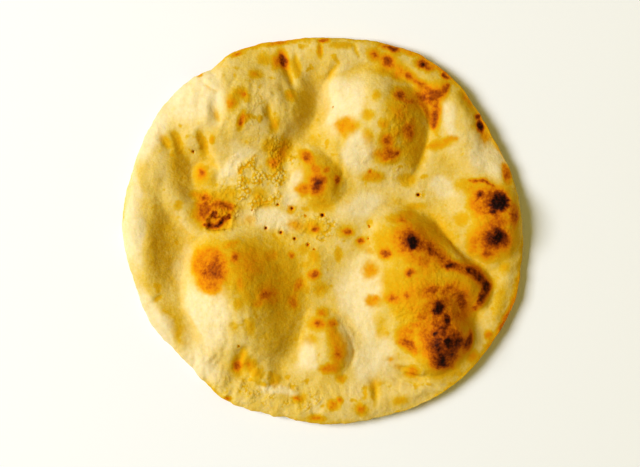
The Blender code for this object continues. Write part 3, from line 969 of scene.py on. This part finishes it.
@dataclass(frozen=True)
class BakedCrust:
    """Wheat dough baked on an oven wall: dry, matt and pale where it puffed clear of the heat.

    The thin skin lets some light into the crumb, which softens and warms its shade. Sugar in the
    dough turns gold, rust and then black where a blister came close to the fire; the gold in the
    hollows, in the creases and on flanks turned from the key light is painted shade. Fine pores and
    grain scatter the light, and pale dusting on the slopes that face the key light is painted
    highlight.
    """

    name: str = "oven_baked_wheat_crust"
    colours: tuple[tuple[float, str], ...] = (
        (0.00, "e6ce90"), (0.10, "dfc062"), (0.20, "d9b028"), (0.30, "d8a60e"), (0.42, "da9806"),
        (0.53, "d48204"), (0.65, "b05c04"), (0.77, "843c04"), (0.89, "4a1a0a"), (1.00, "1e0d08"),
    )
    # The pale colour that paints highlight on the lit slopes.
    flour_and_highlight_colour: str = "ecddb8"
    flour_and_highlight_strength: float = 0.8
    fleck_mm: float = 1.6
    fleck_strength: float = 0.12
    fleck_gain: float = 0.32
    bubble_mm: float = 2.1
    bubble_height_mm: float = 0.8
    # How much darker, gold to amber, the gaps between burst bubbles are coloured.
    bubble_gap_darkening: float = 0.40
    pore_mm: float = 2.4
    pore_depth_mm: float = 0.42
    grain_mm: float = 0.8
    grain_depth_mm: float = 0.2
    roughness: float = 0.8
    char_roughness: float = 0.55
    light_depth_mm: float = 1.5
    light_share: float = 0.15

    def material(self) -> bpy.types.Material:
        """Builds the node material.

        Returns:
            The material, which reads the bake, the pale dusting of painted highlight and the
            crumb of each vertex.
        """
        material = bpy.data.materials.new(self.name)
        material.use_nodes = True
        tree = material.node_tree
        shader = tree.nodes["Principled BSDF"]
        place = add_node(tree, "ShaderNodeTexCoord").outputs["Object"]
        bake, flour_and_highlight, crumb = [
            add_node(tree, "ShaderNodeAttribute", {"attribute_name": name}).outputs["Fac"]
            for name in ("bake", "flour_and_highlight", "crumb")
        ]
        fleck = self._noise(tree, place, self.fleck_mm, 3.0)
        swing = self._math(tree, "MULTIPLY_ADD", bake, self.fleck_gain, self.fleck_strength)
        shift = self._math(tree, "MULTIPLY", self._math(tree, "SUBTRACT", fleck, 0.5), swing)
        bubble = add_node(
            tree, "ShaderNodeTexVoronoi", {"Scale": 1 / (self.bubble_mm * MM), "Randomness": 1.0},
            {"Vector": place},
        ).outputs["Distance"]
        # The gaps between burst bubbles are coloured darker, up to that much.
        gap = add_node(
            tree, "ShaderNodeMapRange",
            {"From Min": 0.25, "From Max": 0.75, "To Max": self.bubble_gap_darkening}, {"Value": bubble},
        ).outputs[0]
        # The bake read here includes painted shade in hollows, creases and on shaded flanks.
        browned = self._math(tree, "MAXIMUM", self._math(tree, "MULTIPLY", gap, crumb), bake)
        heat = self._math(tree, "ADD", browned, shift, clamp=True)
        toast = add_node(tree, "ShaderNodeValToRGB", {}, {"Fac": heat})
        stops = toast.color_ramp.elements
        stops.remove(stops[1])
        stops[0].position, stops[0].color = self.colours[0][0], linear(self.colours[0][1])
        for position, colour in self.colours[1:]:
            stops.new(position).color = linear(colour)
        # Mixes in the pale colour of the painted highlight.
        dusted_and_lit = self._math(tree, "MULTIPLY", flour_and_highlight, self.flour_and_highlight_strength, clamp=True)
        colour = add_node(
            tree, "ShaderNodeMix", {"data_type": "RGBA", 7: linear(self.flour_and_highlight_colour)},
            {0: dusted_and_lit, 6: toast.outputs["Color"]},
        ).outputs[2]
        rough = add_node(
            tree, "ShaderNodeMapRange",
            {"From Min": 0.6, "To Min": self.roughness, "To Max": self.char_roughness},
            {"Value": heat},
        ).outputs[0]
        knobs = self._math(tree, "MULTIPLY", self._math(tree, "SUBTRACT", 1.0, bubble), crumb)
        pores = self._noise(tree, place, self.pore_mm, 2.0)
        grain = self._noise(tree, place, self.grain_mm, 4.0)
        bump = self._bump(tree, knobs, self.bubble_height_mm)
        bump = self._bump(tree, pores, self.pore_depth_mm, bump)
        bump = self._bump(tree, grain, self.grain_depth_mm, bump)
        tree.links.new(colour, shader.inputs["Base Color"])
        tree.links.new(rough, shader.inputs["Roughness"])
        tree.links.new(bump, shader.inputs["Normal"])
        shader.inputs["IOR"].default_value = 1.45
        shader.inputs["Specular IOR Level"].default_value = 0.12
        shader.inputs["Subsurface Weight"].default_value = self.light_share
        shader.inputs["Subsurface Radius"].default_value = (1.0, 0.5, 0.1)
        shader.inputs["Subsurface Scale"].default_value = self.light_depth_mm * MM
        return material

    def _noise(
        self, tree: bpy.types.NodeTree, place: Socket, size_mm: float, detail: float
    ) -> Socket:
        """Noise whose blotches are about that size."""
        settings = {"Scale": 1 / (size_mm * MM), "Detail": detail}
        return add_node(tree, "ShaderNodeTexNoise", settings, {"Vector": place}).outputs["Fac"]

    def _math(
        self, tree: bpy.types.NodeTree, operation: str, *terms: float | Socket, clamp: bool = False
    ) -> Socket:
        """A math node on numbers and sockets.

        Args:
            tree: The material's node tree.
            operation: The node's operation.
            terms: Numbers and sockets to work on.
            clamp: Keeps the result from 0 to 1.

        Returns:
            The socket with the result.
        """
        node = add_node(tree, "ShaderNodeMath", {"operation": operation, "use_clamp": clamp})
        for index, term in enumerate(terms):
            if isinstance(term, float):
                node.inputs[index].default_value = term
            else:
                tree.links.new(term, node.inputs[index])
        return node.outputs[0]

    def _bump(
        self, tree: bpy.types.NodeTree, height: Socket, depth_mm: float, under: Socket | None = None
    ) -> Socket:
        """Raises the shading by a height of that depth, on top of another bump.

        Args:
            tree: The material's node tree.
            height: The socket with the height.
            depth_mm: How deep the relief is.
            under: The bump below it, if any.

        Returns:
            The socket with the bent normal.
        """
        links = {"Height": height} if under is None else {"Height": height, "Normal": under}
        node = add_node(tree, "ShaderNodeBump", {"Distance": depth_mm * MM}, links)
        return node.outputs["Normal"]


@dataclass(frozen=True)
class PaintedFloor:
    """Matt white studio floor, painted with a roller."""

    name: str = "matt_white_paint"
    colour: str = "f4f6ff"

    def material(self) -> bpy.types.Material:
        """Builds the node material.

        Returns:
            The material.
        """
        material = bpy.data.materials.new(self.name)
        material.use_nodes = True
        shader = material.node_tree.nodes["Principled BSDF"]
        shader.inputs["Base Color"].default_value = linear(self.colour)
        shader.inputs["Roughness"].default_value = 0.9
        shader.inputs["Specular IOR Level"].default_value = 0.2
        return material


# ---- The bread ----


@dataclass
class NaanCrust:
    """The whole skin of the bread as one closed mesh: upper side, rim and underside."""

    form: DoughForm = field(default_factory=DoughForm)
    skin: SkinRelief = field(default_factory=SkinRelief)
    finish: BakedCrust = field(default_factory=BakedCrust)
    upper_rings: int = 150
    under_rings: int = 75
    underturn_rings: int = 6
    edge_crimp: float = 0.45
    crimp: Layers = ((1, 9, 61), (0.6, 4, 62))
    under_dimple: float = 0.8

    def build(self) -> bpy.types.Object:
        """Builds the crust.

        Returns:
            The finished object, in metres, resting where the solid rests.
        """
        bm = self._lattice(self.upper_rings, Face.UPPER)
        self._place_upper(bm.verts)
        loop = [edge for edge in bm.edges if edge.is_boundary]
        for ring in range(self.underturn_rings):
            loop, verts = self._next_ring(bm, loop)
            self._place_underturn(verts, 90 * (1 - (ring + 1) / self.underturn_rings))
        under = self._lattice(self.under_rings, Face.UNDER)
        self._place_under(under.verts)
        self._join(bm, under)
        bmesh.ops.bridge_loops(bm, edges=[edge for edge in bm.edges if edge.is_boundary])
        bmesh.ops.recalc_face_normals(bm, faces=bm.faces[:])
        bm.normal_update()
        side = bm.verts.layers.int["side"]
        self._raise_skin([vert for vert in bm.verts if vert[side] == Face.UPPER.value])
        self._dimple_under([vert for vert in bm.verts if vert[side] == Face.UNDER.value])
        bm.normal_update()
        values = self._colour_values(bm)
        mesh = bpy.data.meshes.new("naan_crust")
        bm.to_mesh(mesh)
        bm.free()
        for name, numbers in values.items():
            attribute = mesh.attributes.new(name, "FLOAT", "POINT")
            attribute.data.foreach_set("value", numbers.astype(np.float32))
        self._put_on_solid(mesh)
        mesh.materials.append(self.finish.material())
        mesh.shade_smooth()
        bread = bpy.data.objects.new("naan_crust", mesh)
        bpy.context.scene.collection.objects.link(bread)
        return bread

    def _lattice(self, rings: int, face: Face) -> bmesh.types.BMesh:
        """Makes a flat hexagon of even triangles.

        Args:
            rings: How many rings of triangles it has.
            face: The side of the bread that it will cover, kept on its vertices.

        Returns:
            A mesh of its own.
        """
        bm = bmesh.new()
        side = bm.verts.layers.int.new("side")
        bmesh.ops.create_circle(bm, cap_ends=True, cap_tris=True, segments=6, radius=1.0)
        bmesh.ops.subdivide_edges(bm, edges=bm.edges[:], cuts=rings - 1, use_grid_fill=True)
        for vert in bm.verts:
            vert[side] = face.value
        return bm

    def _join(self, bm: bmesh.types.BMesh, other: bmesh.types.BMesh) -> None:
        """Adds another mesh's parts to this one, and frees the other.

        Args:
            bm: The mesh that grows.
            other: The mesh that is added.
        """
        carrier = bpy.data.meshes.new("carrier")
        other.to_mesh(carrier)
        other.free()
        bm.from_mesh(carrier)
        bpy.data.meshes.remove(carrier)

    def _polar(self, verts: Iterable[bmesh.types.BMVert]) -> tuple[Array, Array]:
        """Bearing of each lattice vertex, and its ring as a share from 0 to 1.

        Args:
            verts: Vertices of a lattice.

        Returns:
            The bearings in degrees, and the shares.
        """
        flat = np.array([vert.co[:2] for vert in verts])
        sides = np.radians(np.arange(0, 360, 60))
        reach = np.max(flat @ np.array([np.cos(sides), np.sin(sides)]), axis=1)
        return np.degrees(np.arctan2(flat[:, 1], flat[:, 0])), reach / math.cos(math.radians(30))

    def _radius(self, bearing: Array) -> Array:
        """The outline with its fine crimping.

        Args:
            bearing: Bearings in degrees.

        Returns:
            The distance of the edge from the middle.
        """
        t = np.radians(bearing)
        ring = np.stack((np.cos(t), np.sin(t), np.zeros(len(t))), axis=1) * MEAN_RADIUS
        crimp = layered(ring, self.crimp)
        ragged = np.exp(-(((np.mod(bearing, 360) - 250) / 24) ** 2))
        return self.form.outline.at(bearing) + self.edge_crimp * (1 + 1.2 * ragged) * crimp

    def _set(self, verts: Iterable[bmesh.types.BMVert], places: Array) -> None:
        """Moves each vertex to its place."""
        for vert, place in zip(verts, places):
            vert.co = place

    def _set_round(
        self, verts: Iterable[bmesh.types.BMVert], bearing: Array, out: Array, z: Array
    ) -> None:
        """Moves each vertex to its bearing, distance from the middle and height."""
        t = np.radians(bearing)
        self._set(verts, np.stack((out * np.cos(t), out * np.sin(t), z), axis=1))

    def _place_upper(self, verts: Iterable[bmesh.types.BMVert]) -> None:
        """Lays the lattice over the upper side, and over the upper half of the rim.

        Args:
            verts: The vertices to move.
        """
        bearing, share = self._polar(verts)
        radius = self._radius(bearing)
        level = radius - self.form.shoulder
        stretch = self.form.shoulder * 1.2
        walked = share * (level + stretch)
        bend = np.clip((walked - level) / stretch, 0, 1) * math.pi / 2
        out = np.minimum(walked, level) + self.form.shoulder * np.sin(bend)
        x, y = out * np.cos(np.radians(bearing)), out * np.sin(np.radians(bearing))
        line = self.form.rim_line(bearing)
        z = line + (self.form.upper(x, y) - line) * np.cos(bend)
        self._set_round(verts, bearing, out, z)

    def _next_ring(self, bm: bmesh.types.BMesh, edges: list) -> tuple[list, list]:
        """Extrudes a closed loop and returns the new loop's edges and vertices.

        Args:
            bm: The mesh.
            edges: The loop to extrude.

        Returns:
            The new loop's edges, and its vertices.
        """
        made = bmesh.ops.extrude_edge_only(bm, edges=edges)["geom"]
        verts = [item for item in made if isinstance(item, bmesh.types.BMVert)]
        ring = set(verts)
        loop = [e for e in made if isinstance(e, bmesh.types.BMEdge) and ring.issuperset(e.verts)]
        return loop, verts

    def _place_underturn(self, verts: list[bmesh.types.BMVert], bend: float) -> None:
        """Places one ring of the rim's lower half: 90 is the outermost line, 0 where it ends.

        Args:
            verts: The vertices to move.
            bend: How far up the rim the ring lies, in degrees.
        """
        flat = np.array([vert.co[:2] for vert in verts])
        bearing = np.degrees(np.arctan2(flat[:, 1], flat[:, 0]))
        out = self._radius(bearing) - self.form.underturn * (1 - math.sin(math.radians(bend)))
        z = self.form.rim_line(bearing) - self.form.half_thickness * math.cos(math.radians(bend))
        self._set_round(verts, bearing, out, z)

    def _place_under(self, verts: Iterable[bmesh.types.BMVert]) -> None:
        """Lays the coarser lattice over the underside: flat inside, curling up to the rim.

        Args:
            verts: The vertices to move.
        """
        bearing, share = self._polar(verts)
        radius = self._radius(bearing)
        out = share * (radius - self.form.underturn - 1.5)
        rim_foot = 1 - self.form.underturn / MEAN_RADIUS
        lift = smooth_step(out / radius, self.form.contact_share, rim_foot)
        self._set_round(verts, bearing, out, self.form.curl.at(bearing) * lift)

    def _raise_skin(self, verts: list[bmesh.types.BMVert]) -> None:
        """Moves the upper skin and the rim along their normals by the fine relief.

        Args:
            verts: The vertices to move.
        """
        places = np.array([vert.co for vert in verts])
        normals = np.array([vert.normal for vert in verts])
        moved = self.skin.depth(places)
        moved *= smooth_step(normals[:, 2], -0.6, 0.3)
        self._set(verts, places + normals * moved[:, None])

    def _dimple_under(self, verts: list[bmesh.types.BMVert]) -> None:
        """Presses shallow steam dimples up into the underside, and leaves the rest flat.

        Args:
            verts: The vertices to move.
        """
        places = np.array([vert.co for vert in verts])
        near = near_grain(places[:, 0], places[:, 1], 13.0, 66)
        dimple = smooth_step(-near, -0.42, 0.0) * smooth_step(noise(places, 24, 67), -0.3, 0.4)
        places[:, 2] += self.under_dimple * dimple + 0.12 * np.abs(noise(places, 3.0, 68))
        self._set(verts, places)

    def _colour_values(self, bm: bmesh.types.BMesh) -> dict[str, Array]:
        """Works out the finish's values for every vertex.

        Args:
            bm: The finished mesh.

        Returns:
            The numbers by attribute name.
        """
        bake_map = BakeMap(self.form, self.skin)
        side = bm.verts.layers.int["side"]
        places = np.array([vert.co for vert in bm.verts])
        below = np.array([vert[side] == Face.UNDER.value for vert in bm.verts])
        facing = np.array([vert.normal.z for vert in bm.verts])
        turn = np.where(below, 0.0, smooth_step(facing, -0.9, -0.3))
        bake = turn * bake_map.upper(places) + (1 - turn) * bake_map.under(places)
        return {
            "bake": bake,
            # Pale dusting, painted highlight on the lit slopes, kept off the browned places.
            "flour_and_highlight": bake_map.flour_and_highlight(places) * (1 - smooth_step(bake, 0.15, 0.4)),
            "crumb": turn * self.skin.crumb(places),
        }

    def _put_on_solid(self, mesh: bpy.types.Mesh) -> None:
        """Scales the mesh to metres and puts its middle and its foot where the solid's are.

        Args:
            mesh: The crust's mesh, in millimetres.
        """
        low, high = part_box(NODE)
        mesh.transform(Matrix.Scale(MM, 4))
        places = np.empty(len(mesh.vertices) * 3, np.float32)
        mesh.vertices.foreach_get("co", places)
        places = places.reshape(-1, 3)
        mine_low, mine_high = Vector(places.min(axis=0)), Vector(places.max(axis=0))
        shift = (low + high) / 2 - (mine_low + mine_high) / 2
        shift.z = low.z - mine_low.z
        mesh.transform(Matrix.Translation(shift))


# ---- The studio ----


@dataclass(frozen=True)
class SoftLight:
    """One square soft box: where it stands, what it faces, its side and its power."""

    name: str
    place: tuple[float, float, float]
    side: float
    watts: float
    colour: tuple[float, float, float] = (1.0, 1.0, 1.0)

    def set_up(self) -> None:
        """Adds the light, facing the bread."""
        data = bpy.data.lights.new(self.name, "AREA")
        data.shape, data.size = "SQUARE", self.side
        data.energy, data.color = self.watts, self.colour
        lamp = bpy.data.objects.new(self.name, data)
        lamp.location = self.place
        lamp.rotation_euler = (-Vector(self.place)).to_track_quat("-Z", "Y").to_euler()
        bpy.context.scene.collection.objects.link(lamp)


@dataclass(frozen=True)
class Studio:
    """A pale floor, soft light from the left with a gold reflector opposite, and a camera above."""

    floor_side: float = 12.0
    camera_height: float = 1.05
    view_width: float = 0.4267
    camera_offset: tuple[float, float] = (-0.0017, -0.0017)
    sensor_mm: float = 36.0
    sky: float = 0.28
    sky_colour: tuple[float, float, float] = (1.0, 0.92, 0.40)
    exposure: float = -0.62
    lights: tuple[SoftLight, ...] = (
        SoftLight("key_left", (-2.9, 0.41, 2.73), 2.0, 250.0),
        SoftLight("gold_reflector", (2.6, -0.4, 1.2), 2.0, 22.0, (1.0, 0.76, 0.05)),
    )

    def set_up(self) -> None:
        """Builds the studio."""
        self._floor()
        for light in self.lights:
            light.set_up()
        self._sky()
        self._camera()

    def _floor(self) -> None:
        """Lays the floor under the bread."""
        bm = bmesh.new()
        bmesh.ops.create_grid(bm, x_segments=1, y_segments=1, size=self.floor_side / 2)
        mesh = bpy.data.meshes.new("studio_floor")
        bm.to_mesh(mesh)
        bm.free()
        mesh.transform(Matrix.Translation((0, 0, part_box(NODE)[0].z - 0.0002)))
        mesh.materials.append(PaintedFloor().material())
        floor = bpy.data.objects.new("studio_floor", mesh)
        bpy.context.scene.collection.objects.link(floor)

    def _sky(self) -> None:
        """Weak warm light from all round, as a wooden kitchen throws it back."""
        world = bpy.data.worlds.new("studio_sky")
        world.use_nodes = True
        background = world.node_tree.nodes["Background"]
        background.inputs["Color"].default_value = (*self.sky_colour, 1.0)
        background.inputs["Strength"].default_value = self.sky
        bpy.context.scene.world = world

    def _camera(self) -> None:
        """Hangs the camera over the bread, looking straight down."""
        data = bpy.data.cameras.new("overhead")
        data.sensor_width = self.sensor_mm
        data.lens = self.sensor_mm * self.camera_height / self.view_width
        camera = bpy.data.objects.new("overhead", data)
        camera.location = (*self.camera_offset, self.camera_height)
        bpy.context.scene.collection.objects.link(camera)
        bpy.context.scene.camera = camera
        view = bpy.context.scene.view_settings
        view.view_transform, view.look = "Standard", "Medium High Contrast"
        view.exposure = self.exposure


def main() -> None:
    """Builds the bread's crust and the studio."""
    logging.basicConfig(level=logging.INFO, format="%(name)s: %(message)s")
    crust = NaanCrust().build()
    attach(crust, "root")
    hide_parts(NODE)
    LOG.info("crust: %d vertices, %d faces", len(crust.data.vertices), len(crust.data.polygons))
    Studio().set_up()
    LOG.info("studio set up")


if __name__ == "__main__":
    main()
